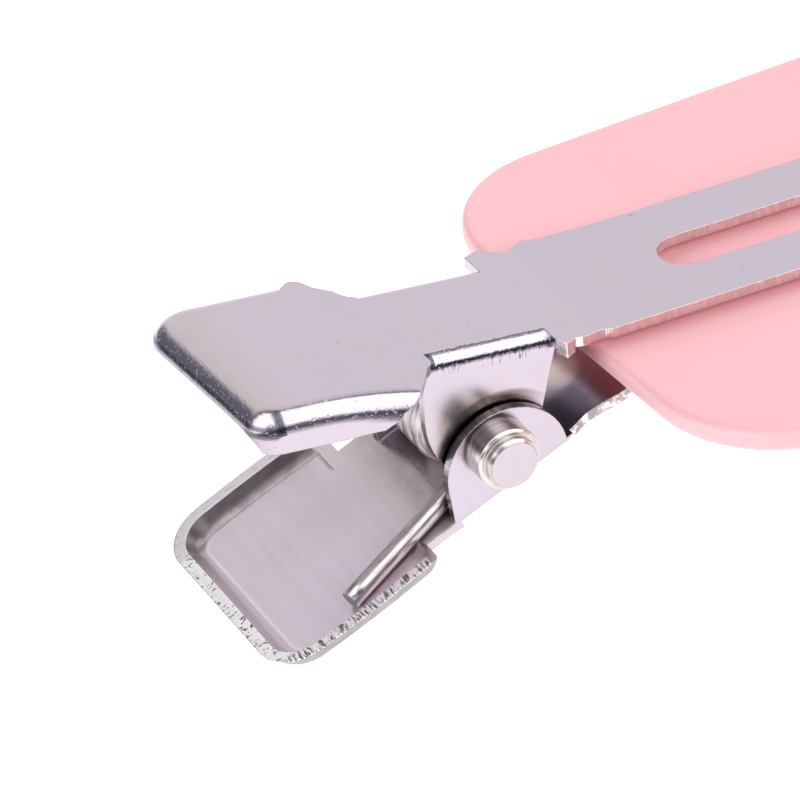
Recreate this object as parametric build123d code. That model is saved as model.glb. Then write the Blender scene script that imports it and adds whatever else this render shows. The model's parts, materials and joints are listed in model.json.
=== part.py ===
from build123d import *
import math
import os

# Spring hair clip, in millimetres. It is built closed in its pivot frame: the pin's axis is Y
# through the origin, X runs along the blades to the tip and Z is up from the lower jaw.
# At the end everything is turned and lifted so that the clip lies on z = 0.

# Sheet and plate
sheet = 0.45                # steel strip of both jaws
plate_top = 3.06            # plate's upper face over the pin's axis
plate_thickness = 1.0
plate_near_x = 4.49         # plate's rounded end beside the pin
plate_length = 59.7
plate_near_y = -14.45       # long edge on the side of the pin's stepped head
plate_width = 25.16
plate_corner = 5.6
plate_edge = 0.38           # rounding of the plate's edges
plate_yaw = 3.7             # degrees, the plate isn't quite straight in the jaws

# Upper jaw: blade, neck and folded ears
upper_tilt = 6.0            # degrees, neck and lever rise behind the fold
upper_fold_x = 4.86         # fold between the blade and the neck
blade_gap = 0.22            # blade over the plate at the fold, it touches at its tip
upper_tip_x = 60.5
upper_blade_width = 7.5
upper_blade_start_x = 2.72  # on the far side, the near side starts later
upper_neck_width = 6.22     # over the ears' outer faces
upper_bend = 0.66           # outer radius of the ears' folds
ear_back_x = -2.75          # rear edge of the upper ears
ear_back_low = 1.6          # height where that edge starts to round
ear_front_low = (2.45, 0.55)  # front edge's lower end, x and z
ear_front_lean = 15.4       # degrees, the front edge leans forward as it rises
ear_round = 1.85            # rounded bottom of the upper ears, about the pin
ear_rear_turn = 235.0       # degrees about the pin, where the rear edge meets that round
ear_front_turn = 305.0      # the same for the front edge
burr_drop = 0.12            # the near corner of the blade's start hangs lower
slot_width = 2.4
slot_start_x = 9.67
slot_end_x = 54.5
tip_round = 2.2             # plan corners of both blades' tips

# Upper jaw: thumb lever, measured back from the pin in its own plane
upper_lever_width = 10.15    # over the rims, at the end
upper_lever_middle_y = 0.205
upper_lever_end_x = -11.05
upper_lever_skew = 4.3      # degrees, the end isn't cut square
upper_corner_near = 1.35
upper_corner_far = 1.95
upper_lever_bend = 1.0      # outer radius of the rim's fold
wing_start_x = -8.0         # the near rim curves outwards from here to the neck
wing_round = 11.1           # plan radius of that curve
upper_wall = 1.62           # depth of the side rims
upper_end_wall = 0.86       # depth of the rim across the end
end_wall_reach = 0.25       # how far that shallow rim runs past the end's middle
end_wall_step = 0.5         # length over which it deepens to the side rims
rim_near_x = -3.75          # side rims' ends beside the shoulders
rim_far_x = -5.2
rim_run_out = 3.25          # length over which the side rims taper away
shoulder_side = 1.88        # unfolded shoulders' corners stand out past the neck
shoulder_near_x = -4.25
shoulder_near_length = 1.95
shoulder_far_x = -5.4
shoulder_far_length = 2.7

# Lower jaw: tray-shaped lever, ears and blade
lower_tilt = 23.8           # degrees, tray and neck slope down behind the plate
floor_drop = 2.15           # pin's axis down to the tray's floor, along Z
tray_width = 11.93          # over the rim's top, where it is widest
tray_middle_y = 0.25        # the tray isn't quite centred on the ears
tray_bulge = 0.12           # the long sides are slightly bowed
tray_end = 11.69            # rim's end behind the foot of the pin, along the floor
tray_front = 3.15           # rim's other end, measured the same way
tray_near_stop = 3.65       # where the near side rim runs down to the floor
tray_far_stop = 4.25        # the same for the far side rim
tray_rim_lean = 0.45        # they reach full height this much further back
tray_depth = 0.68           # floor up to the rim's top
tray_flare = 33.0           # degrees
tray_bend = 0.6             # inner radius at the rim's foot
tray_corner = 2.1
tray_front_corner = 1.35
lower_neck_width = 7.44     # over the lower ears' outer faces
lower_neck_start = 2.4      # neck's rear end, measured like tray_end
lower_throat_width = 7.3    # floor between the tray and the neck
web_far = (-2.5, 4.4)       # corner of the floor's wider far side, along it and across
lower_neck_stop = 3.8       # neck's front end
lower_bend = 0.55           # outer radius of the lower ears' folds
lower_ear_centre = (0.5, -1.2)
lower_ear_round = 2.72
lower_ear_foot = (-1.97, -3.35)  # rear edge's lower end, x and z
lower_blade_width = 7.0
lower_blade_bend = 4.0      # inner radius where the blade flattens under the plate
lower_tip_x = 62.6

# Pivot pin
pin_radius = 0.98
pin_head_radius = 1.38
pin_head_length = 1.27
pin_head_edge = 0.1         # bevel of the head's front edge
pin_boss_radius = 1.14
pin_boss_length = 0.42
pin_boss_edge = 0.14
rivet_radius = 1.35
rivet_length = 0.5
running_gap = 0.05          # pin in the upper ears, all round
seat_gap = 0.02             # pin in the lower ears, all round

# Spring
wire = 0.82
coil_mean_radius = 1.85
coil_offset = (-0.3, 0.3)   # coil's centre from the pin, x and z
coil_middle_y = 0.05
coil_turns = 6
coil_pitch = 0.8            # a touch under the wire, so the turns form one solid
leg_end_x = -7.05
lower_leg_end_y = -4.07
upper_leg_end_y = 2.5
leg_gap = 0.02              # legs over the sheet that they press on

# Outline of the shoulders between neck and lever: share of the shoulder's length from the
# lever, share of the shoulder's side
SHOULDER_NEAR = ((0.0, 0.6), (0.31, 0.99), (0.43, 0.81), (0.68, 0.44), (0.8, 0.24), (0.94, 0.12),
                 (1.0, 0.0))
SHOULDER_FAR = ((0.0, 0.65), (0.06, 0.8), (0.21, 0.97), (0.29, 0.97), (0.39, 0.9), (0.44, 0.8),
                (0.51, 0.57), (0.6, 0.44), (0.75, 0.23), (0.8, 0.05), (0.88, -0.1), (1.0, -0.22))

# Lower edge of the side rims where they run out: share of that length, share of the wall's depth
RIM_RUN = ((0.0, 1.0), (0.34, 0.89), (0.52, 0.84), (0.65, 0.65), (0.75, 0.43), (0.88, 0.25),
           (0.95, 0.13), (1.0, 0.06))

# Sides of the upper blade beside the ears, as the press left them: place from the blade's start
# and how far the side stands out past the straight edge, both as shares of the blade's width
BLADE_FAR = ((0.0, 0.025), (0.032, 0.041), (0.109, 0.072), (0.139, 0.047), (0.177, 0.004),
             (0.231, -0.012), (0.287, 0.013), (0.357, 0.055), (0.408, 0.035), (0.464, 0.024),
             (0.82, 0.0))
BLADE_NEAR = ((0.045, -0.03), (0.08, 0.03), (0.15, -0.005), (0.19, 0.0), (0.237, -0.005),
              (0.287, -0.021), (0.335, -0.02), (0.379, 0.001), (0.54, 0.0))

# Waist of the lower blade in front of the ears: place in x, how far each side is drawn in
WAIST = ((3.66, 0.1), (4.1, 0.22), (4.4, 0.28), (4.9, 0.24), (5.4, 0.1), (5.8, 0.0))

overrun = 1.0               # how far a cutting body passes the surface that it cuts

plate_under = plate_top - plate_thickness
blade_top = plate_top + blade_gap + sheet


def side_prism(face, width):
    """A face drawn in x and z, made as thick as width about y = 0."""
    return extrude(Plane.XZ * face, width / 2, both=True)


def plan_prism(face, bottom, top):
    """A face drawn in x and y, raised from bottom to top."""
    return Pos(0, 0, bottom) * extrude(face, top - bottom)


def upper_plane():
    """Upper face of the neck and lever, with its origin on the fold's line."""
    lean = math.radians(upper_tilt)
    return Plane((upper_fold_x, 0, blade_top), x_dir=(math.cos(lean), 0, -math.sin(lean)),
                 z_dir=(math.sin(lean), 0, math.cos(lean)))


def upper_u(x):
    """Distance from the fold, along the neck, of a place given by its x."""
    return (x - upper_fold_x) / math.cos(math.radians(upper_tilt))


def lower_plane():
    """Tray's floor, with its origin straight below the pin's axis."""
    lean = math.radians(lower_tilt)
    return Plane((0, 0, -floor_drop), x_dir=(math.cos(lean), 0, math.sin(lean)),
                 z_dir=(-math.sin(lean), 0, math.cos(lean)))


def lower_point(along, over):
    """The x and z of a point given along the tray's floor and over it."""
    lean = math.radians(lower_tilt)
    return (along * math.cos(lean) - over * math.sin(lean),
            -floor_drop + along * math.sin(lean) + over * math.cos(lean))


def pin_hole(gap):
    """Cutter for the pin's holes, with the gap all round."""
    reach = lower_neck_width / 2 + overrun
    return Rot(X=90) * Cylinder(pin_radius + gap, 2 * reach)


def channel(width, outer_bend, start, stop, height):
    """A straight piece of U section lying on z = 0, open at the top."""
    length = stop - start
    outer = Pos((start + stop) / 2, 0, height / 2) * Box(length, width, height)
    foot = outer.edges().filter_by(Axis.X).group_by(Axis.Z)[0]
    outer = fillet(foot, outer_bend)
    inner_height = height - sheet + overrun
    inner = Pos((start + stop) / 2, 0, sheet + inner_height / 2) * Box(
        length + 2 * overrun, width - 2 * sheet, inner_height)
    foot = inner.edges().filter_by(Axis.X).group_by(Axis.Z)[0]
    return outer - fillet(foot, outer_bend - sheet)


def pan(outline, depth, flare, inner_bend):
    """A shallow pan standing on z = 0: its floor is one sheet thick, its rim flares out."""
    slope = math.tan(math.radians(flare))
    outer = extrude(outline, depth, taper=-flare)
    foot = outer.edges().group_by(Axis.Z)[0]
    outer = fillet(foot, inner_bend + sheet)
    inset = sheet / math.cos(math.radians(flare)) - sheet * slope
    inner = extrude(offset(outline, -inset), depth, taper=-flare)
    foot = inner.edges().group_by(Axis.Z)[0]
    return outer - Pos(0, 0, sheet) * fillet(foot, inner_bend)


def upper_lever():
    """Thumb lever in its own plane, top face at z = 0, rim folded down."""
    near = upper_lever_middle_y - upper_lever_width / 2
    far = upper_lever_middle_y + upper_lever_width / 2
    back = upper_u(upper_lever_end_x)
    beyond = upper_u(rim_near_x) + upper_wall
    wing = upper_u(wing_start_x)
    wing_reach = wing_round - math.sqrt(wing_round ** 2 - (beyond - wing) ** 2)
    skew = math.tan(math.radians(upper_lever_skew))
    edges = Polyline((beyond, near - wing_reach), (beyond, far), (back - far * skew, far),
                     (back - near * skew, near), (wing, near))
    edges += TangentArc((wing, near), (beyond, near - wing_reach), tangent=(1, 0))
    outline = make_face(edges)
    ends = outline.vertices().group_by(Axis.X)
    outline = fillet(ends[1], upper_corner_near)
    outline = fillet(outline.vertices().sort_by(Axis.X)[0], upper_corner_far)
    lever = mirror(pan(outline, upper_wall, 0, upper_lever_bend - sheet), Plane.XY)

    low = -upper_wall - overrun
    level = back + end_wall_reach
    deep = level + end_wall_step
    end_cut = make_face(Polyline(
        (back - far, -upper_end_wall), (level, -upper_end_wall), (deep, -upper_wall), (deep, low),
        (back - far, low), close=True))
    lever -= side_prism(end_cut, 2 * upper_lever_width)
    lever -= rim_cut(rim_near_x, beyond, -1)
    return lever - rim_cut(rim_far_x, beyond, 1)


def rim_cut(rim_end_x, beyond, side):
    """Cutter for one half of the lever: tapers its rim and takes off what lies in front."""
    low = -upper_wall - overrun
    front = upper_u(rim_end_x)
    edge = [(front - (1 - along) * rim_run_out, -deep * upper_wall) for along, deep in RIM_RUN]
    outline = make_face(Polyline(
        (front - rim_run_out, low), *edge, (front, overrun), (beyond + overrun, overrun),
        (beyond + overrun, low), close=True))
    return Pos(0, side * upper_lever_width / 2, 0) * side_prism(outline, upper_lever_width)


def upper_shoulders():
    """Flat sheet that narrows from the lever to the neck, top face at z = 0."""
    neck_side = upper_neck_width / 2
    points = [(upper_u(shoulder_far_x), -neck_side)]
    for along, out in SHOULDER_NEAR:
        points.append((upper_u(shoulder_near_x) + along * shoulder_near_length,
                       -neck_side - out * shoulder_side))
    for along, out in reversed(SHOULDER_FAR):
        points.append((upper_u(shoulder_far_x) + along * shoulder_far_length,
                       neck_side + out * shoulder_side))
    return plan_prism(make_face(Polyline(*points, close=True)), -sheet, 0)


def upper_ear_outline():
    """Side outline of neck and ears, in x and z about the pin."""
    top = blade_top + upper_wall
    lean = math.tan(math.radians(ear_front_lean))
    front_x, front_z = ear_front_low
    rear = math.radians(ear_rear_turn)
    front = math.radians(ear_front_turn)
    rear_foot = (ear_round * math.cos(rear), ear_round * math.sin(rear))
    front_foot = (ear_round * math.cos(front), ear_round * math.sin(front))
    blade_start = front_x + (blade_top - sheet - front_z) * lean
    edges = Polyline(rear_foot, (0, 0), front_foot)
    edges += TangentArc((front_x, front_z), front_foot, tangent=(-lean, -1))
    edges += Polyline((front_x, front_z), (blade_start, blade_top - sheet), (blade_start, top),
                      (ear_back_x, top), (ear_back_x, ear_back_low))
    edges += TangentArc((ear_back_x, ear_back_low), rear_foot, tangent=(0, -1))
    return make_face(edges) + Circle(ear_round)


def upper_neck():
    """Neck with the two ears folded down from it."""
    height = blade_top + upper_wall + ear_round
    start = upper_u(ear_back_x) - overrun
    folded = mirror(channel(upper_neck_width, upper_bend, start, 0, height), Plane.XY)
    folded = upper_plane().location * folded
    return folded & side_prism(upper_ear_outline(), upper_neck_width + overrun)


def upper_blade():
    """Blade with the long slot, folded up towards the neck, its tip on the plate."""
    lean = math.tan(math.radians(upper_tilt))
    start_top = blade_top + (upper_fold_x - upper_blade_start_x) * lean
    half_turn = sheet * math.tan(math.radians(upper_tilt / 2))
    drop = sheet / math.cos(math.radians(upper_tilt))
    profile = make_face(Polyline(
        (upper_blade_start_x, start_top), (upper_fold_x, blade_top),
        (upper_tip_x, plate_top + sheet), (upper_tip_x, plate_top),
        (upper_fold_x - half_turn, blade_top - sheet), (upper_blade_start_x, start_top - drop),
        close=True))

    half = upper_blade_width / 2
    far = [(upper_blade_start_x + along * upper_blade_width, half + out * upper_blade_width)
           for along, out in BLADE_FAR]
    near = [(upper_blade_start_x + along * upper_blade_width, -half - out * upper_blade_width)
            for along, out in BLADE_NEAR]
    tip = [(upper_tip_x, half), (upper_tip_x, -half)]
    plan = make_face(Polyline(*far, *tip, *reversed(near), close=True))
    plan = fillet(plan.vertices().group_by(Axis.X)[-1], tip_round)
    slot_length = slot_end_x - slot_start_x
    slot = Pos(slot_start_x + slot_length / 2, 0) * SlotOverall(slot_length, slot_width)
    body = side_prism(profile, upper_blade_width + 2 * overrun)
    body &= plan_prism(plan - slot, 0, blade_top + overrun)
    burr = make_face(Polyline(near[0], near[1], near[2], close=True))
    return body + plan_prism(burr, blade_top - sheet - burr_drop, blade_top)


def make_upper_jaw():
    flat = upper_plane().location * (upper_lever() + upper_shoulders())
    jaw = flat + upper_neck() + upper_blade()
    return jaw - pin_hole(running_gap)


def tray_outline(spread):
    """Plan of the rim, drawn in from its top edge by spread."""
    near = tray_middle_y - tray_width / 2 + spread
    far = tray_middle_y + tray_width / 2 - spread
    back = -tray_end + spread
    front = -tray_front - spread
    middle = (back + front) / 2
    edges = Line((back, near + tray_bulge), (back, far - tray_bulge))
    edges += ThreePointArc((back, far - tray_bulge), (middle, far), (front, far - tray_bulge))
    edges += Line((front, far - tray_bulge), (front, near + tray_bulge))
    edges += ThreePointArc((front, near + tray_bulge), (middle, near), (back, near + tray_bulge))
    outline = make_face(edges)
    ends = outline.vertices().group_by(Axis.X)
    outline = fillet(ends[0], tray_corner - spread)
    return fillet(outline.vertices().group_by(Axis.X)[-1], tray_front_corner - spread)


def tray_rim_cut(stop, side):
    """Cutter for one half of the tray's front: runs the side rim down to the floor."""
    high = tray_depth + overrun
    lean = tray_rim_lean * high / tray_depth
    outline = make_face(Polyline((-stop, 0), (-stop - lean, high), (0, high), (0, 0), close=True))
    width = tray_width / 2 + overrun
    return Pos(0, side * width / 2, 0) * side_prism(outline, width)


def tray():
    """Tray-shaped lever in the floor's frame, underside at z = -sheet."""
    depth = sheet + tray_depth
    spread = depth * math.tan(math.radians(tray_flare))
    body = Pos(0, 0, -sheet) * pan(tray_outline(spread), depth, tray_flare, tray_bend)
    body -= tray_rim_cut(tray_near_stop, -1)
    body -= tray_rim_cut(tray_far_stop, 1)
    mouth = tray_near_stop + tray_rim_lean + tray_bend + sheet
    body -= Pos(-mouth / 2, 0, tray_depth) * Box(mouth, lower_throat_width, 2 * tray_depth)
    body -= Box(2 * tray_near_stop, 2 * tray_width, 2 * depth)

    throat = lower_throat_width / 2
    neck = lower_neck_width / 2
    stop = sheet - lower_neck_start
    plan = make_face(Polyline(
        (-mouth, -throat), (-lower_neck_start, -throat), (stop, -neck), (stop, neck),
        web_far, (-mouth, web_far[1]), close=True))
    return body + plan_prism(plan, -sheet, 0)


def lower_side_outline():
    """Side outline of the neck: floor and ears, in x and z."""
    floor = make_face(Polyline(
        lower_point(-lower_neck_start - overrun, 0), lower_point(lower_neck_stop, 0),
        lower_point(lower_neck_stop, -sheet),
        lower_point(-lower_neck_start - overrun, -sheet), close=True))
    centre_x, centre_z = lower_ear_centre
    ear = Pos(centre_x, centre_z) * Circle(lower_ear_round)
    foot = make_face(Polyline(
        (centre_x - lower_ear_round, centre_z), lower_ear_foot, lower_point(0, -sheet),
        (centre_x, centre_z), close=True))
    return floor + ear + foot


def lower_neck():
    """Floor between the ears, with the ears folded up from it."""
    height = sheet + floor_drop + lower_ear_round
    start = -lower_neck_start - sheet
    folded = channel(lower_neck_width, lower_bend, start, lower_neck_stop, height)
    folded = lower_plane().location * Pos(0, 0, -sheet) * folded
    return folded & side_prism(lower_side_outline(), lower_neck_width + overrun)


def lower_blade():
    """Blade that slopes up in front of the ears and then lies flat under the plate."""
    lean = math.radians(lower_tilt)
    bend_x = (plate_under + floor_drop) / math.tan(lean)
    start_x, start_z = lower_point(lower_neck_stop - sheet, 0)
    drop_x, drop_z = lower_point(lower_neck_stop - sheet, -sheet)
    half_turn = sheet * math.tan(lean / 2)
    profile = make_face(Polyline(
        (start_x, start_z), (bend_x, plate_under), (lower_tip_x, plate_under),
        (lower_tip_x, plate_under - sheet), (bend_x + half_turn, plate_under - sheet),
        (drop_x, drop_z), close=True))
    corners = profile.vertices().sort_by_distance((bend_x, plate_under))
    profile = fillet(corners[0], lower_blade_bend + sheet)
    inner = profile.vertices().sort_by_distance((bend_x + half_turn, plate_under - sheet))[0]
    profile = fillet(inner, lower_blade_bend)
    half = lower_blade_width / 2
    near = [(start_x - overrun, WAIST[0][1] - half)]
    near += [(x, inset - half) for x, inset in WAIST] + [(lower_tip_x, -half)]
    far = [(x, -y) for x, y in reversed(near)]
    plan = make_face(Polyline(*near, *far, close=True))
    plan = fillet(plan.vertices().group_by(Axis.X)[-1], tip_round)
    low = -floor_drop - overrun
    return side_prism(profile, lower_blade_width) & plan_prism(plan, low, plate_top)


def make_lower_jaw():
    jaw = lower_plane().location * tray() + lower_neck() + lower_blade()
    return jaw - pin_hole(seat_gap)


def make_plate():
    """Flat plate with large corners and softly rounded edges."""
    plan = RectangleRounded(plate_length, plate_width, plate_corner)
    plate = extrude(plan, plate_thickness)
    rims = plate.edges().group_by(Axis.Z)
    plate = fillet(rims[0] + rims[-1], plate_edge)
    middle = (plate_near_x + plate_length / 2, plate_near_y + plate_width / 2)
    return Rot(Z=plate_yaw) * Pos(middle[0], middle[1], plate_under) * plate


def make_pivot_pin():
    """Pin with a stepped head at the front and a domed rivet end at the back."""
    ear_face = lower_neck_width / 2
    head_end = ear_face + pin_head_length
    boss_end = head_end + pin_boss_length
    back_end = -ear_face - rivet_length
    outline = Polyline(
        (0, back_end), (rivet_radius - rivet_length / 2, back_end),
        (rivet_radius, -ear_face - rivet_length / 2), (rivet_radius, -ear_face),
        (pin_radius, -ear_face), (pin_radius, ear_face), (pin_head_radius, ear_face),
        (pin_head_radius, head_end - pin_head_edge), (pin_head_radius - pin_head_edge, head_end),
        (pin_boss_radius, head_end),
        (pin_boss_radius, boss_end - pin_boss_edge),
        (pin_boss_radius - pin_boss_edge, boss_end), (0, boss_end), close=True)
    pin = revolve(Plane.XZ * make_face(outline), Axis.Z)
    return Rot(X=90) * pin


def leg(end, side, y_end):
    """Straight wire leg from the coil's rim to its cut end, tangent to the coil."""
    centre_x, centre_z = coil_offset
    away = math.hypot(end[0] - centre_x, end[1] - centre_z)
    facing = math.atan2(end[1] - centre_z, end[0] - centre_x)
    touch = facing + side * math.acos(coil_mean_radius / away)
    half_coil = (coil_turns - 1) * coil_pitch / 2
    start = Vector(centre_x + coil_mean_radius * math.cos(touch),
                   coil_middle_y + math.copysign(half_coil, y_end),
                   centre_z + coil_mean_radius * math.sin(touch))
    run = Vector(end[0], y_end, end[1]) - start
    wire_face = Plane(start, z_dir=run) * Circle(wire / 2)
    return extrude(wire_face, run.length, dir=run.normalized())


def make_spring():
    """Torsion spring: touching turns round the pin and one leg to each lever."""
    turns = [Pos(coil_mean_radius, (i - (coil_turns - 1) / 2) * coil_pitch) * Circle(wire / 2)
             for i in range(coil_turns)]
    ring = turns[0]
    for turn in turns[1:]:
        ring += turn
    coil = revolve(ring, Axis.Y)
    coil = Pos(coil_offset[0], coil_middle_y, coil_offset[1]) * coil
    stand_off = wire / 2 + leg_gap
    lean = math.radians(lower_tilt)
    lower_end = (leg_end_x, -floor_drop + leg_end_x * math.tan(lean) + stand_off / math.cos(lean))
    lean = math.radians(upper_tilt)
    upper_end = (leg_end_x, blade_top + (upper_fold_x - leg_end_x) * math.tan(lean)
                 - (sheet + stand_off) / math.cos(lean))
    return coil + leg(lower_end, 1, lower_leg_end_y) + leg(upper_end, -1, upper_leg_end_y)


def resting_turn():
    """Degrees about Y that lay the tray's end and the lower blade's tip on one level."""
    bend = tray_bend + sheet
    flare = math.radians(tray_flare)
    foot = -tray_end + (sheet + tray_depth) * math.tan(flare)
    over = bend * math.tan((math.pi / 2 - flare) / 2)
    centre_x, centre_z = lower_point(foot + over, bend - sheet)
    run = lower_tip_x - centre_x
    rise = plate_under - sheet - centre_z
    return math.degrees(math.atan2(rise, run) + math.asin(bend / math.hypot(run, rise)))


def main():
    parts = {
        "upper_jaw": make_upper_jaw(),
        "lower_jaw": make_lower_jaw(),
        "pivot_pin": make_pivot_pin(),
        "spring": make_spring(),
        "plate": make_plate(),
    }
    turn = Rot(Y=resting_turn())
    box = Compound(children=[turn * part for part in parts.values()]).bounding_box()
    middle = box.center()
    rest = Pos(-middle.X, -middle.Y, -box.min.Z) * turn
    os.makedirs("parts", exist_ok=True)
    for name, part in parts.items():
        placed = rest * part
        export_step(placed, f"parts/{name}.step")
        print(name, "solids", len(placed.solids()), "volume", round(placed.volume, 3))
    print("turn", round(resting_turn(), 4), "pivot", [round(v, 4) for v in rest.position])
    print("size", [round(v, 3) for v in box.size])


main()
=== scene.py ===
import json
import math

import bpy
from mathutils import Matrix, Vector


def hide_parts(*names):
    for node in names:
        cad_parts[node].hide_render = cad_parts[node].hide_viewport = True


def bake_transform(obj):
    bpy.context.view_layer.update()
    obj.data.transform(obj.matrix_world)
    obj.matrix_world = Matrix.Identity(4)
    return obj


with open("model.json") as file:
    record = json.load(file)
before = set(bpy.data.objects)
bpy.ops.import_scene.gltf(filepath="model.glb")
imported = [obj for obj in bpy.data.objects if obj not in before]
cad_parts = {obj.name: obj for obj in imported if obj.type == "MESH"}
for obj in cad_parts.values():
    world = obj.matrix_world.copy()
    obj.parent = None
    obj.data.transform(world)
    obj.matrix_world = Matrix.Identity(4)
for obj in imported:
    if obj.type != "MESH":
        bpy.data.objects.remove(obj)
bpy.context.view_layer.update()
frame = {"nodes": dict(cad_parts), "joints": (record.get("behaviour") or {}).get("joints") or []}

MM = 0.001                  # metres

# Places in the clip's own frame, in millimetres: the pin's axis is the origin, X runs along the
# level blades and Z is up. RESTING_TURN is the turn about Y that lays the clip down.
PIN = Vector(frame["joints"][0]["pos_m"])
RESTING_TURN = 6.67
UPPER_TILT = 6.0
LOWER_TILT = 23.8
FLOOR_DROP = 2.15
TRAY_DEPTH = 0.68
BLADE_TOP = 3.73
SHEET = 0.45
FOLD_X = 4.86
EAR_CENTRE = (0.5, -1.2)    # middle of the lower ears' rounding, x and z
EAR_ROUND = 2.72
CLIP = Matrix.Translation(PIN) @ Matrix.Rotation(math.radians(RESTING_TURN), 4, "Y") \
    @ Matrix.Scale(MM, 4)
# The same with the tray's floor level: X along the floor, Z up from it
TRAY = CLIP @ Matrix.Translation((0, 0, -FLOOR_DROP)) \
    @ Matrix.Rotation(math.radians(-LOWER_TILT), 4, "Y")

# Spring wire, as in the solid
WIRE = 0.82
COIL_RADIUS = 1.85
COIL_CENTRE = Vector((-0.3, 0.05, 0.3))
COIL_HALF = 2.0
WHOLE_TURNS = 4
LEG_END_X = -7.05
LOWER_LEG_Y = -4.07
UPPER_LEG_Y = 2.5
LEG_GAP = 0.02
STEPS_PER_TURN = 40
LEG_STEPS = 12
WIRE_SIDES = 24

# Camera: the view was found in the clip's own frame, then turned with it
VIEW_YAW = 24.32            # degrees from +Y towards +X
VIEW_PITCH = 32.83          # degrees down
VIEW_ROLL = -4.22           # degrees
VIEW_DISTANCE = 316.0
VIEW_TARGET = Vector((-1.766, 1.349, 0.0))
FOCAL_PX = 7790.0
IMAGE_PX = 800
SENSOR_MM = 36.0

# The light tent in degrees about X, from the front horizon over the top to the back one
PANEL = (31.0, 109.0)
PANEL_SOFT = 3.0
PANEL_LEVEL = 2.5
WALL = (121.0, 127.0)
WALL_LEVEL = 1.25
GAP_LEVEL = 0.12
# Dark places of the tent: direction, inner and outer radius in degrees, what is left of the light
DARK_SPOTS = (
    ((-0.28, -0.77, 0.58), 12.0, 22.0, 0.15),
    ((-0.56, 0.80, 0.21), 27.0, 42.0, 0.17),
)
LIT_TINT = (1.0, 0.99, 1.0)
DIM_TINT = (0.84, 0.92, 1.14)
FLOOR_HALF = 3.0            # metres
FLOOR_GREY = (0.22, 0.22, 0.22)
FLOOR_GLOW = (1.0, 0.98, 0.99)
FLOOR_GLOW_LEVEL = 1.3

# Colours of the steel
STEEL_COOL = (0.505, 0.455, 0.525)
STEEL_WARM = (0.515, 0.455, 0.505)
STEEL_DARK = (0.26, 0.23, 0.245)
STEEL_TAN = (0.41, 0.36, 0.33)
TRAY_PALE = (0.79, 0.695, 0.765)
TRAY_WARM = (0.64, 0.55, 0.545)
WALL_PAINTED_DARK = (0.20, 0.18, 0.195)
WALL_BROWN = (0.30, 0.265, 0.25)
CUT_LIGHT = (0.86, 0.78, 0.76)
CUT_TAN = (0.66, 0.57, 0.54)
SHEARED_LIGHT = (1.0, 0.97, 0.97)
SHEARED_DARK = (0.13, 0.115, 0.11)
RIM_FAR = (0.74, 0.68, 0.72)
EAR_EDGE_DARK = (0.24, 0.21, 0.195)
EAR_EDGE_LIGHT = (0.50, 0.455, 0.43)
# The next four are painted shade and reflection: the dark of gaps, the dark of folds, brown shade
# and olive reflection
PAINTED_GAP_DARK = (0.10, 0.10, 0.13)
PAINTED_FOLD_DARK = (0.06, 0.065, 0.085)
PAINTED_BROWN = (0.14, 0.105, 0.09)
PAINTED_OLIVE_REFLECTION = (0.30, 0.27, 0.205)
NECK_BROWN = (0.36, 0.305, 0.29)
SLOPE_RED = (0.39, 0.20, 0.215)
SLOPE_PALE = (0.74, 0.66, 0.58)
PIN_DARK = (0.44, 0.395, 0.37)
PIN_LIGHT = (0.66, 0.61, 0.595)
PIN_MOTTLED = (0.60, 0.57, 0.555)
PIN_END = (0.505, 0.45, 0.49)
WIRE_DARK = (0.40, 0.36, 0.345)
WIRE_LIGHT = (0.58, 0.54, 0.56)

# Colours of the plate. Its sides are painted lighter, as lit from the floor below. Its painted
# shade and glow lie where another piece is close over it.
PINK_COOL = (0.62, 0.318, 0.342)
PINK_WARM = (0.63, 0.328, 0.352)
PINK_SIDE_LIT = (0.80, 0.50, 0.52)
PINK_SHADE = (0.43, 0.175, 0.19)
PINK_GLOW = (0.42, 0.16, 0.175)
SHADE_REACH = 2.4
SHADE_GAIN = 3.0
GLOW_LEVEL = 0.8

# Roughness and relief
STEEL_ROUGH = 0.2
FINE_ROUGH = 0.06           # what the fine grain adds
TRAY_ROUGH = 0.16           # what the inside of the tray adds
RELIEF = 0.004              # height of the steel's grain
RELIEF_SHARE = 0.5
EDGE_RADIUS = 0.07
UPPER_DRAWN = 4.0           # depth of the draw marks in the folds
LOWER_DRAWN = 1.0

# Marks on the upper jaw, along the clip's own axes: where each starts and where it is full, or
# the two ends of a band
WING_SHADE_X = (-8.4, -10.4)
CUT_X = (3.22, 3.32)
CUT_Z = (3.12, 3.25)
NECK_EDGE_Z = (3.2, 3.0)
EAR_FOLD_X = (-2.9, 3.2)
EAR_FOLD_Y = (-2.2, -2.4)
EAR_FOLD_LEVEL = (3.40, 3.48)
FOLD_END_X = (-2.3, -2.45)
FOLD_END_BAND = (-2.38, -2.08)
CREASE_X = (-9.74, -9.36)
CREASE_Y = (-4.0, -4.2)

# The same for the lower jaw. ALONG and OVER are measured in the tray's frame.
INSIDE_ALONG = (-1.9, -2.5)
FLOOR_OVER = (-0.1, -0.03)
WARM_ALONG = (-7.5, -2.0)
NECK_ALONG = (-2.9, -0.5)
SLOPE_X = (3.3, 8.0)
SLOPE_RED_X = (5.1, 5.9)
SLOPE_LOW_X = (5.5, 4.9)
SLOPE_LOW_Y = (-0.7, -1.5)
SLOPE_PALE_X = 4.75
SLOPE_PALE_Y = -0.1
SIDE_CUT_X = (3.3, 3.45)
RIM_ALONG = (-3.2, -3.5)
RIM_NEAR_Y = (-4.6, -5.0)
RIM_FAR_Y = (3.6, 4.4)

# Rings on the pin, by distance from its axis, and its root behind the head
PIN_END_RING = (1.04, 0.96)
PIN_OUTLINE = (1.0, 1.07)
PIN_SHADE_RING = (1.2, 1.5)
PIN_ROOT_Y = (-3.95, -3.74)


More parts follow.
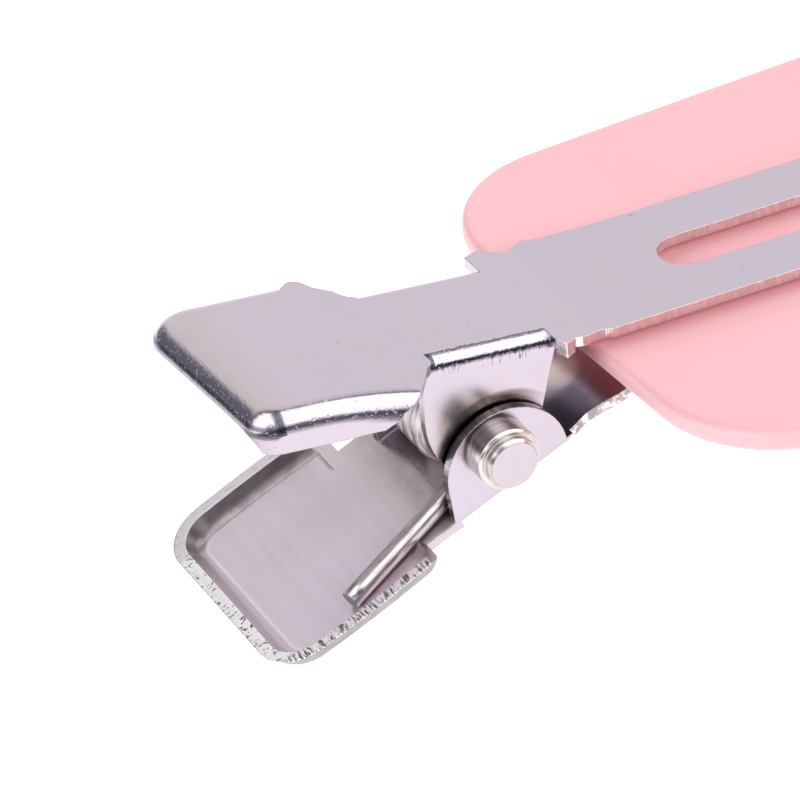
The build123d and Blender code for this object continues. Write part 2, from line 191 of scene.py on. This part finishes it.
def make_camera():
    """Camera at the photograph's angle, aimed relative to the pin."""
    yaw = math.radians(VIEW_YAW)
    pitch = math.radians(VIEW_PITCH)
    ahead = Vector((math.sin(yaw) * math.cos(pitch), math.cos(yaw) * math.cos(pitch),
                    -math.sin(pitch)))
    level = ahead.cross(Vector((0, 0, 1))).normalized()
    upward = level.cross(ahead)
    roll = math.radians(VIEW_ROLL)
    right = level * math.cos(roll) + upward * math.sin(roll)
    up = upward * math.cos(roll) - level * math.sin(roll)
    data = bpy.data.cameras.new("camera")
    data.sensor_width = SENSOR_MM
    data.lens = FOCAL_PX / IMAGE_PX * SENSOR_MM
    data.clip_end = 10.0
    camera = bpy.data.objects.new("camera", data)
    bpy.context.scene.collection.objects.link(camera)
    place = Matrix((right, up, -ahead)).transposed().to_4x4()
    place.translation = (VIEW_TARGET - ahead * VIEW_DISTANCE) * MM
    turn = Matrix.Rotation(math.radians(RESTING_TURN), 4, "Y")
    camera.matrix_world = Matrix.Translation(PIN) @ turn @ place
    bpy.context.scene.camera = camera


class Nodes:
    """Short calls that add shader nodes to one tree and link them."""

    def __init__(self, tree):
        self.tree = tree
        tree.nodes.clear()

    def add(self, kind, **sockets):
        """A new node. Names that start with _ are its settings, the others its inputs."""
        node = self.tree.nodes.new("ShaderNode" + kind)
        for name, value in sockets.items():
            if name.startswith("_"):
                setattr(node, name[1:], value)
        for name, value in sockets.items():
            if not name.startswith("_"):
                self.put(node.inputs[name], value)
        return node

    def put(self, socket, value):
        if isinstance(value, bpy.types.NodeSocket):
            self.tree.links.new(value, socket)
        else:
            socket.default_value = value

    def maths(self, kind, a, b=0.0):
        node = self.tree.nodes.new("ShaderNodeMath")
        node.operation = kind
        for socket, value in zip(node.inputs, (a, b)):
            self.put(socket, value)
        return node.outputs[0]

    def times(self, first, *others):
        """Product of two or more masks or numbers."""
        for other in others:
            first = self.maths("MULTIPLY", first, other)
        return first

    def plus(self, a, b):
        return self.maths("ADD", a, b)

    def less(self, a, b):
        return self.maths("SUBTRACT", a, b)

    def larger(self, a, b):
        return self.maths("MAXIMUM", a, b)

    def smaller(self, a, b):
        return self.maths("MINIMUM", a, b)

    def size(self, a):
        return self.maths("ABSOLUTE", a)

    def rise(self, value, low, high, bottom=0.0, top=1.0):
        """Smooth step from bottom at low to top at high, clamped. Low may be the larger one."""
        node = self.add("MapRange", _interpolation_type="SMOOTHSTEP", Value=value)
        for name, number in (("From Min", low), ("From Max", high), ("To Min", bottom),
                             ("To Max", top)):
            node.inputs[name].default_value = number
        return node.outputs[0]

    def band(self, value, low, high, soft):
        """One between low and high, nought outside, with soft edges."""
        return self.times(self.rise(value, low - soft, low + soft),
                          self.rise(value, high + soft, high - soft))

    def mix(self, share, a, b):
        """Colour a where share is nought and b where it is one."""
        node = self.tree.nodes.new("ShaderNodeMix")
        node.data_type = "RGBA"
        self.put(node.inputs[0], share)
        self.put(node.inputs[6], a if isinstance(a, bpy.types.NodeSocket) else (*a, 1))
        self.put(node.inputs[7], b if isinstance(b, bpy.types.NodeSocket) else (*b, 1))
        return node.outputs[2]

    def parts(self, vector):
        node = self.add("SeparateXYZ", Vector=vector)
        return node.outputs[0], node.outputs[1], node.outputs[2]

    def stretch(self, vector, x, y, z):
        """The vector with each axis multiplied."""
        node = self.add("VectorMath", _operation="MULTIPLY")
        self.put(node.inputs[0], vector)
        node.inputs[1].default_value = (x, y, z)
        return node.outputs[0]

    def noise(self, vector, scale, detail=2.0, roughness=0.5):
        node = self.add("TexNoise", Vector=vector, Scale=scale, Detail=detail,
                        Roughness=roughness)
        return node.outputs[0]

    def framed(self, place):
        """Object coordinates taken into the frame place, in millimetres."""
        move, turn, size = place.decompose()
        node = self.add("Mapping", _vector_type="TEXTURE",
                        Vector=self.add("TexCoord").outputs["Object"])
        node.inputs["Location"].default_value = move
        node.inputs["Rotation"].default_value = turn.to_euler()
        node.inputs["Scale"].default_value = size
        return node.outputs[0]

    def framed_normal(self, place):
        """The surface's normal taken into the frame place."""
        node = self.add("Mapping", _vector_type="TEXTURE",
                        Vector=self.add("TexCoord").outputs["Normal"])
        node.inputs["Rotation"].default_value = place.decompose()[1].to_euler()
        return node.outputs[0]

    def bump(self, height, strength, distance, normal=None):
        node = self.add("Bump", Height=height, Strength=strength, Distance=distance)
        if normal is not None:
            self.put(node.inputs["Normal"], normal)
        return node.outputs[0]

    def surface(self, **sockets):
        """Principled surface from its inputs, with _ for the spaces in their names."""
        shader = self.add("BsdfPrincipled")
        for name, value in sockets.items():
            if isinstance(value, tuple) and name.endswith("Color"):
                value = (*value, 1.0)
            self.put(shader.inputs[name.replace("_", " ")], value)
        self.add("OutputMaterial", Surface=shader.outputs[0])


def material(name):
    made = bpy.data.materials.new(name)
    made.use_nodes = True
    return made, Nodes(made.node_tree)


def make_world():
    """Light tent: bright panel overhead, a grey back wall, and dark gaps between them."""
    world = bpy.data.worlds.new("studio")
    world.use_nodes = True
    n = Nodes(world.node_tree)
    x, y, z = n.parts(n.add("TexCoord").outputs["Generated"])
    over = n.times(n.maths("ARCTAN2", z, n.times(y, -1.0)), 180 / math.pi)
    level = n.plus(n.times(n.band(over, *PANEL, PANEL_SOFT), PANEL_LEVEL),
                   n.times(n.rise(over, *WALL), WALL_LEVEL))
    level = n.larger(level, GAP_LEVEL)
    for (gx, gy, gz), near, far, left in DARK_SPOTS:
        facing = n.plus(n.plus(n.times(x, gx), n.times(y, gy)), n.times(z, gz))
        spot = n.rise(facing, math.cos(math.radians(far)), math.cos(math.radians(near)))
        level = n.times(level, n.less(1.0, n.times(spot, 1.0 - left)))
    tint = n.mix(n.rise(level, 0.6, 0.15), LIT_TINT, DIM_TINT)
    shade = n.add("Background", Color=tint, Strength=level)
    n.add("OutputWorld", Surface=shade.outputs[0])
    bpy.context.scene.world = world


def make_floor():
    """Plain pale floor, lit from below a little as on a light table."""
    mesh = bpy.data.meshes.new("floor")
    corners = [(x * FLOOR_HALF, y * FLOOR_HALF, 0)
               for x, y in ((-1, -1), (1, -1), (1, 1), (-1, 1))]
    mesh.from_pydata(corners, [], [(0, 1, 2, 3)])
    floor = bpy.data.objects.new("floor", mesh)
    bpy.context.scene.collection.objects.link(floor)
    made, n = material("floor")
    n.surface(Base_Color=FLOOR_GREY, Roughness=0.9, Emission_Color=FLOOR_GLOW,
              Emission_Strength=FLOOR_GLOW_LEVEL)
    mesh.materials.append(made)


def steel_base(n, mm, normal, across, drawn_depth):
    """Colour, roughness and height of rolled nickel-plated strip, rolled across the given axis."""
    nx, _, nz = n.parts(normal)
    rolled = [0.35, 0.35, 0.35]
    rolled[across] = 7.0
    cloud = n.noise(mm, 0.45, 3.0)
    grain = n.noise(n.stretch(mm, *rolled), 1.0, 3.0, 0.6)
    fine = n.noise(mm, 9.0, 2.0)
    colour = n.mix(n.rise(cloud, 0.3, 0.7), STEEL_COOL, STEEL_WARM)
    flat = n.rise(nz, 0.93, 0.98)
    colour = n.mix(n.times(flat, 0.16), colour, STEEL_DARK)
    colour = n.mix(n.times(n.rise(grain, 0.5, 0.75), 0.06), colour, STEEL_DARK)
    specks = n.rise(n.noise(n.stretch(mm, 1.7, 3.2, 3.2), 1.0, 1.0), 0.77, 0.82)
    colour = n.mix(n.times(specks, 0.45), colour, STEEL_DARK)

    # Folds, where the normal leaves all three axes: drawn and pitted, with a painted dark
    # reflection band across them
    facing = n.add("VectorMath", _operation="ABSOLUTE")
    n.put(facing.inputs[0], normal)
    fx, fy, fz = n.parts(facing.outputs[0])
    folded = n.rise(n.larger(n.larger(fx, fy), fz), 0.985, 0.94)
    drawn = n.noise(n.stretch(mm, 11.0, 4.0, 4.0), 1.0, 2.0, 0.7)
    pits = n.rise(n.noise(mm, 8.0, 1.0), 0.60, 0.72)
    rough = n.plus(n.plus(STEEL_ROUGH, n.times(fine, FINE_ROUGH)), n.times(folded, -0.03))
    marks = n.times(n.plus(n.times(drawn, 1.3), n.times(pits, -1.0)), drawn_depth)
    height = n.plus(n.plus(n.times(grain, 0.08), n.times(fine, 0.06)), n.times(folded, marks))
    end_fold = n.rise(nx, -0.3, -0.5)
    painted_fold_band = n.times(folded, n.plus(n.band(fz, 0.10, 0.32, 0.06),
                                       n.times(end_fold, n.band(fz, 0.38, 0.56, 0.06))))
    colour = n.mix(n.times(painted_fold_band, 0.2 * drawn_depth), colour, PAINTED_FOLD_DARK)
    return colour, rough, height


def finish_steel(n, colour, rough, height):
    """Metal with its edges slightly rounded and its grain raised."""
    rounded = n.add("Bevel", _samples=6, Radius=EDGE_RADIUS * MM).outputs[0]
    bumped = n.bump(height, RELIEF_SHARE, RELIEF * MM, rounded)
    n.surface(Base_Color=colour, Metallic=1.0, Roughness=rough, Normal=bumped)


def about(n, x, z, centre, turn_from, turn_to, soft):
    """Distance from a centre in the side view, and a mask between two angles about it."""
    dx = n.less(x, centre[0])
    dz = n.less(z, centre[1])
    away = n.maths("SQRT", n.plus(n.times(dx, dx), n.times(dz, dz)))
    turn = n.times(n.maths("ARCTAN2", dz, dx), 180 / math.pi)
    turn = n.plus(turn, n.times(n.rise(turn, -90.0, -89.0, 1.0, 0.0), 360.0))
    return away, n.band(turn, turn_from, turn_to, soft)


def upper_steel():
    """Steel of the slotted jaw."""
    made, n = material("nickel_upper")
    mm = n.framed(CLIP)
    normal = n.framed_normal(CLIP)
    x, y, z = n.parts(mm)
    _, ny, nz = n.parts(normal)
    colour, rough, height = steel_base(n, mm, normal, across=1, drawn_depth=UPPER_DRAWN)

    # Painted shade: greyer metal beside the fold of the lever's end
    wing_gradient_shade = n.times(n.rise(x, *WING_SHADE_X), n.rise(nz, 0.8, 0.95))
    wing_gradient_shade = n.times(wing_gradient_shade, n.rise(n.noise(mm, 0.6, 3.0), 0.2, 0.6, 0.5, 1.0))
    colour = n.mix(n.times(wing_gradient_shade, 0.42), colour, STEEL_TAN)

    # Sheared edges of the blade, the slot and the notches
    cut = n.times(n.rise(n.size(nz), 0.3, 0.1), n.rise(x, *CUT_X), n.rise(z, *CUT_Z))
    grooves = n.noise(n.stretch(mm, 4.0, 4.0, 1.2), 1.0, 3.0, 0.7)
    colour = n.mix(cut, colour, n.mix(n.rise(grooves, 0.3, 0.7), CUT_TAN, CUT_LIGHT))
    height = n.plus(height, n.times(grooves, cut, 0.25))
    edge = n.times(n.rise(n.size(ny), 0.3, 0.1), n.rise(z, *NECK_EDGE_Z))
    colour = n.mix(n.times(edge, 0.5), colour, STEEL_TAN)

    # Painted dark reflection along the jagged borders of the near ear's fold and over the fold's
    # left end, and a painted dark line of shade along the crease at the lever's near corner
    level = n.plus(z, n.times(x, math.tan(math.radians(UPPER_TILT))))
    fold = n.times(n.band(x, *EAR_FOLD_X, 0.15), n.rise(y, *EAR_FOLD_Y),
                   n.rise(level, *EAR_FOLD_LEVEL))
    spikes = n.noise(n.stretch(mm, 9.0, 2.0, 2.0), 1.0, 3.0, 0.8)
    sway = n.times(n.less(spikes, 0.5), 0.4)
    lean = n.plus(ny, sway)
    border = n.plus(n.band(lean, -0.22, -0.10, 0.03), n.band(lean, -0.94, -0.84, 0.03))
    turned = n.times(fold, n.band(ny, -0.97, -0.08, 0.03))
    colour = n.mix(n.times(turned, n.rise(x, *FOLD_END_X)), colour, STEEL_DARK)
    fold_end = n.times(n.band(n.plus(x, sway), *FOLD_END_BAND, 0.08), turned)
    border = n.larger(n.times(fold, border), fold_end)
    crease = n.times(n.band(n.plus(x, n.times(spikes, 0.3)), *CREASE_X, 0.08),
                     n.rise(y, *CREASE_Y), n.band(nz, 0.2, 0.97, 0.02))
    jagged = n.smaller(n.plus(border, crease), 1.0)
    colour = n.mix(n.times(jagged, 0.95), colour, PAINTED_FOLD_DARK)

    # Painted reflection and shade round the pivot: olive and brown reflections of the outer ears,
    # and the painted dark of the gap along their edge
    face = n.rise(ny, -0.85, -0.95)
    streaks = n.noise(n.stretch(mm, 5.0, 1.0, 1.4), 1.0, 3.0, 0.7)
    away, some = about(n, x, z, EAR_CENTRE, 92.0, 152.0, 16.0)
    ear_reflection = n.times(some, n.rise(away, 3.9, 3.0), n.rise(streaks, 0.25, 0.75, 0.5, 1.0))
    colour = n.mix(n.times(ear_reflection, face, 0.85), colour, PAINTED_OLIVE_REFLECTION)
    away, some = about(n, x, z, EAR_CENTRE, 58.0, 125.0, 18.0)
    reach = n.rise(away, EAR_ROUND + 0.62, EAR_ROUND + 0.42)
    colour = n.mix(n.times(some, reach, face, 0.75), colour, PAINTED_BROWN)
    away, some = about(n, x, z, EAR_CENTRE, 112.0, 172.0, 14.0)
    reach = n.rise(away, EAR_ROUND + 0.34, EAR_ROUND + 0.2)
    colour = n.mix(n.times(some, reach, face), colour, PAINTED_GAP_DARK)
    finish_steel(n, colour, rough, height)
    return made


def lower_steel():
    """Steel of the plain jaw. The tray and the neck are described in the tray's frame."""
    made, n = material("nickel_lower")
    mm = n.framed(CLIP)
    x, y, z = n.parts(mm)
    _, ny, nz = n.parts(n.framed_normal(CLIP))
    local = n.framed(TRAY)
    along, _, over = n.parts(local)
    tray_normal = n.framed_normal(TRAY)
    tx, ty, _ = n.parts(tray_normal)
    colour, rough, height = steel_base(n, local, tray_normal, across=0, drawn_depth=LOWER_DRAWN)
    mottled = n.noise(local, 1.3, 3.0, 0.65)

    # Inside of the tray: duller and paler, with painted dark reflection on the walls and faint
    # rolling stripes
    inner = n.rise(over, *FLOOR_OVER)
    inside = n.times(n.rise(along, *INSIDE_ALONG), inner)
    rough = n.plus(rough, n.times(inside, TRAY_ROUGH))
    colour = n.mix(inside, colour, TRAY_PALE)
    colour = n.mix(n.times(n.rise(along, *WARM_ALONG), inside, 0.6), colour, TRAY_WARM)
    far_wall = n.times(n.rise(ty, -0.06, -0.28), inside)
    colour = n.mix(n.times(far_wall, 0.95), colour,
                   n.mix(n.rise(mottled, 0.35, 0.65), WALL_PAINTED_DARK, WALL_BROWN))
    end_wall = n.times(n.rise(tx, 0.06, 0.3), inside)
    colour = n.mix(n.times(end_wall, 0.55), colour, WALL_PAINTED_DARK)
    stripes = n.rise(n.noise(n.stretch(local, 2.6, 0.1, 0.1), 1.0, 2.0, 0.6), 0.40, 0.66)
    colour = n.mix(n.times(stripes, inside, 0.10), colour, STEEL_TAN)

    # Brown shade on the neck, seen past the spring
    neck = n.times(n.band(along, *NECK_ALONG, 0.9), inner,
                   n.rise(mottled, 0.25, 0.6, 0.4, 1.0), n.rise(n.size(ny), 0.8, 0.5))
    colour = n.mix(n.times(neck, 0.6), colour, NECK_BROWN)

    # Slope from the ears to the blade: painted reflections of the plate, the upper jaw and the dark
    # between
    slope = n.times(n.band(x, *SLOPE_X, 0.4), n.rise(nz, 0.3, 0.6))
    red = n.times(slope, n.rise(n.plus(x, n.times(mottled, 0.8)), *SLOPE_RED_X))
    colour = n.mix(n.times(red, 0.8), colour, SLOPE_RED)
    low = n.times(slope, n.rise(n.plus(x, n.times(mottled, 0.6)), *SLOPE_LOW_X),
                  n.rise(y, *SLOPE_LOW_Y))
    colour = n.mix(n.times(low, 0.75), colour, PAINTED_GAP_DARK)
    dx = n.less(x, SLOPE_PALE_X)
    dy = n.times(n.less(y, SLOPE_PALE_Y), 0.8)
    near = n.plus(n.times(dx, dx), n.times(dy, dy))
    colour = n.mix(n.times(slope, n.rise(near, 0.9, 0.05)), colour, SLOPE_PALE)

    # Sheared edge of the blade
    side_cut = n.times(n.rise(n.size(ny), 0.6, 0.8), n.rise(x, *SIDE_CUT_X))
    ragged = n.noise(n.stretch(mm, 2.2, 1.0, 2.2), 1.0, 3.0, 0.75)
    colour = n.mix(n.times(side_cut, 0.9), colour,
                   n.mix(n.rise(ragged, 0.42, 0.6), WALL_BROWN, CUT_LIGHT))
    height = n.plus(height, n.times(ragged, side_cut, 1.5))

    # Sheared rim of the tray: ticks across the near side, specks across the end
    rim = n.times(n.rise(over, TRAY_DEPTH - 0.03, TRAY_DEPTH - 0.01), n.rise(along, *RIM_ALONG))
    side = n.rise(y, *RIM_NEAR_Y)
    end_teeth = n.rise(n.noise(n.stretch(local, 3.6, 5.5, 0.1), 1.0, 2.0, 0.75), 0.34, 0.46)
    side_teeth = n.rise(n.noise(n.stretch(local, 9.0, 1.6, 0.1), 1.0, 2.0, 0.7), 0.38, 0.56)
    teeth = n.plus(n.times(end_teeth, n.less(1.0, side)), n.times(side_teeth, side))
    colour = n.mix(rim, colour, n.mix(teeth, SHEARED_DARK, SHEARED_LIGHT))
    colour = n.mix(n.times(rim, n.rise(y, *RIM_FAR_Y), 0.85), colour, RIM_FAR)
    height = n.plus(height, n.times(teeth, rim, 2.5))

    # Sheared edges of the ears
    away, some = about(n, x, z, EAR_CENTRE, -85.0, 230.0, 10.0)
    edge = n.times(n.rise(n.size(ny), 0.35, 0.15), some,
                   n.band(away, EAR_ROUND - 0.08, EAR_ROUND + 0.04, 0.02))
    jagged = n.noise(n.stretch(mm, 6.0, 1.2, 6.0), 1.0, 3.0, 0.75)
    colour = n.mix(n.times(edge, 0.85), colour,
                   n.mix(n.rise(jagged, 0.38, 0.62), EAR_EDGE_DARK, EAR_EDGE_LIGHT))
    height = n.plus(height, n.times(jagged, edge, 1.2))

    # Painted shade and reflection ring round the pin's head
    ring, some = about(n, x, z, (0.0, 0.0), 60.0, 200.0, 25.0)
    pin_ring_shade = n.times(n.band(ring, *PIN_SHADE_RING, 0.09), some, n.rise(ny, -0.9, -0.96))
    colour = n.mix(n.times(pin_ring_shade, 0.7), colour, PAINTED_BROWN)
    finish_steel(n, colour, rough, height)
    return made


def pin_steel():
    """Turned steel of the pin, with a plain end face."""
    made, n = material("turned_pin")
    mm = n.framed(CLIP)
    x, y, z = n.parts(mm)
    ring = n.maths("SQRT", n.plus(n.times(x, x), n.times(z, z)))
    end = n.rise(ring, *PIN_END_RING)
    turned = n.noise(n.stretch(mm, 0.3, 8.0, 0.3), 1.0, 3.0, 0.7)
    mottled = n.noise(mm, 2.2, 3.0, 0.6)
    fine = n.noise(mm, 8.0, 2.0)
    colour = n.mix(n.rise(turned, 0.3, 0.7), PIN_DARK, PIN_LIGHT)
    colour = n.mix(n.times(n.rise(mottled, 0.45, 0.7), 0.4), colour, PIN_MOTTLED)
    # Painted brown shade at the root behind the head, where it meets the ear
    colour = n.mix(n.times(n.rise(y, *PIN_ROOT_Y), 0.75), colour, PAINTED_BROWN)
    colour = n.mix(end, colour, PIN_END)
    outline = n.band(ring, *PIN_OUTLINE, 0.03)
    colour = n.mix(n.times(outline, 0.5), colour, STEEL_DARK)
    rough = n.plus(STEEL_ROUGH, n.times(fine, FINE_ROUGH))
    height = n.plus(n.times(turned, n.less(1.0, end)), n.times(fine, 0.08))
    finish_steel(n, colour, rough, height)
    return made


def wire_steel():
    """Drawn wire, with lines along it."""
    made, n = material("spring_wire")
    around, along, _ = n.parts(n.add("TexCoord").outputs["UV"])
    drawn = n.add("CombineXYZ", X=n.times(around, 34.0), Y=n.times(along, 1.2))
    lines = n.noise(drawn.outputs[0], 1.0, 3.0)
    specks = n.noise(n.framed(CLIP), 7.0, 2.0, 0.7)
    colour = n.mix(n.rise(lines, 0.35, 0.65), WIRE_DARK, WIRE_LIGHT)
    bumped = n.bump(n.plus(lines, n.times(specks, 0.6)), RELIEF_SHARE, RELIEF * MM)
    n.surface(Base_Color=colour, Metallic=1.0, Roughness=0.3, Normal=bumped)
    return made


def plastic():
    """Pink plastic with painted light on its sides, and painted shade and a faint painted glow
    where the blade lies close over it.
    """
    made, n = material("pink_plastic")
    mm = n.framed(CLIP)
    cloud = n.noise(mm, 0.12, 2.0)
    fine = n.noise(mm, 5.0, 3.0)
    colour = n.mix(n.rise(cloud, 0.3, 0.7), PINK_COOL, PINK_WARM)
    _, _, nz = n.parts(n.framed_normal(CLIP))
    # Painted light: the side faces lighter, as lit from below
    colour = n.mix(n.times(n.rise(nz, 0.9, 0.4), 0.7), colour, PINK_SIDE_LIT)
    hidden = n.add("AmbientOcclusion", _samples=12, Distance=SHADE_REACH * MM).outputs["AO"]
    shade = n.smaller(n.times(n.less(1.0, hidden), SHADE_GAIN), 1.0)
    colour = n.mix(shade, colour, PINK_SHADE)
    glow = n.times(n.rise(hidden, 0.75, 0.3), GLOW_LEVEL)
    rough = n.plus(0.38, n.times(fine, 0.08))
    bumped = n.bump(fine, 0.3, 0.003 * MM)
    n.surface(Base_Color=colour, Roughness=rough, Normal=bumped, Specular_IOR_Level=0.6,
              Coat_Weight=0.25, Coat_Roughness=0.3, Subsurface_Weight=0.15,
              Subsurface_Radius=(1.0 * MM, 0.5 * MM, 0.5 * MM),
              Emission_Color=PINK_GLOW, Emission_Strength=glow)
    return made


def dress(name, made):
    """The material on every slot of a solid that keeps its shape."""
    solid = frame["nodes"][name]
    for place in solid.material_slots:
        place.material = made


def leg_height(x, side):
    """Height of a leg's middle line over the pin's axis, where it rests on its lever."""
    if side < 0:
        lean = math.radians(LOWER_TILT)
        return -FLOOR_DROP + x * math.tan(lean) + (WIRE / 2 + LEG_GAP) / math.cos(lean)
    lean = math.radians(UPPER_TILT)
    return BLADE_TOP + (FOLD_X - x) * math.tan(lean) - (SHEET + WIRE / 2 + LEG_GAP) / math.cos(lean)


def touch_angle(end_x, end_z, side):
    """Angle round the coil where a straight leg to that end leaves it."""
    away = math.hypot(end_x - COIL_CENTRE.x, end_z - COIL_CENTRE.z)
    facing = math.atan2(end_z - COIL_CENTRE.z, end_x - COIL_CENTRE.x)
    return facing - side * math.acos(COIL_RADIUS / away)


def spring_path():
    """Middle line of the wire: leg, wound turns, leg."""
    lower = Vector((LEG_END_X, LOWER_LEG_Y, leg_height(LEG_END_X, -1)))
    upper = Vector((LEG_END_X, UPPER_LEG_Y, leg_height(LEG_END_X, 1)))
    first = touch_angle(lower.x, lower.z, -1) % (2 * math.pi) - 2 * math.pi
    last = touch_angle(upper.x, upper.z, 1) % (2 * math.pi) + 2 * math.pi * WHOLE_TURNS
    steps = STEPS_PER_TURN * (WHOLE_TURNS + 1)
    points = []
    for i in range(steps + 1):
        share = i / steps
        turn = first + (last - first) * share
        y = COIL_CENTRE.y - COIL_HALF + 2 * COIL_HALF * share
        points.append(Vector((COIL_CENTRE.x + COIL_RADIUS * math.cos(turn), y,
                              COIL_CENTRE.z + COIL_RADIUS * math.sin(turn))))
    front = [lower.lerp(points[0], i / LEG_STEPS) for i in range(LEG_STEPS)]
    back = [points[-1].lerp(upper, i / LEG_STEPS) for i in range(1, LEG_STEPS + 1)]
    return front + points + back


def tube(name, points, radius, sides):
    """Round wire along the points, closed at both ends, with its own UV map."""
    vertices, faces, uvs = [], [], []
    side = None
    length = 0.0
    lengths = []
    for i, point in enumerate(points):
        ahead = (points[min(i + 1, len(points) - 1)] - points[max(i - 1, 0)]).normalized()
        if side is None:
            side = ahead.cross(Vector((0, 0, 1))).normalized()
        side = (side - ahead * side.dot(ahead)).normalized()
        up = ahead.cross(side)
        if i:
            length += (point - points[i - 1]).length
        lengths.append(length)
        for k in range(sides):
            turn = 2 * math.pi * k / sides
            vertices.append(point + (side * math.cos(turn) + up * math.sin(turn)) * radius)
    for i in range(len(points) - 1):
        for k in range(sides):
            nxt = (k + 1) % sides
            faces.append((i * sides + k, (i + 1) * sides + k, (i + 1) * sides + nxt,
                          i * sides + nxt))
            uvs += [(k / sides, lengths[i]), (k / sides, lengths[i + 1]),
                    ((k + 1) / sides, lengths[i + 1]), ((k + 1) / sides, lengths[i])]
    last = (len(points) - 1) * sides
    for ring, order in ((0, range(sides)), (last, range(sides - 1, -1, -1))):
        faces.append(tuple(ring + k for k in order))
        uvs += [(0.5 + 0.5 * math.cos(2 * math.pi * k / sides),
                 0.5 * math.sin(2 * math.pi * k / sides)) for k in order]
    mesh = bpy.data.meshes.new(name)
    mesh.from_pydata([CLIP @ v for v in vertices], [], faces)
    layer = mesh.uv_layers.new(name="wire")
    for i, uv in enumerate(uvs):
        layer.data[i].uv = uv
    for polygon in mesh.polygons:
        polygon.use_smooth = len(polygon.vertices) == 4
    mesh.validate()
    piece = bpy.data.objects.new(name, mesh)
    bpy.context.scene.collection.objects.link(piece)
    return piece


def make_spring():
    """The wound wire in place of the spring's solid, bent between both jaws."""
    piece = tube("wound_spring", spring_path(), WIRE / 2, WIRE_SIDES)
    piece.data.materials.append(wire_steel())
    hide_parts("spring")
    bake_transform(piece)


bpy.context.scene.view_settings.view_transform = "Standard"
make_camera()
make_world()
make_floor()
dress("upper_jaw", upper_steel())
dress("lower_jaw", lower_steel())
dress("pivot_pin", pin_steel())
dress("plate", plastic())
make_spring()
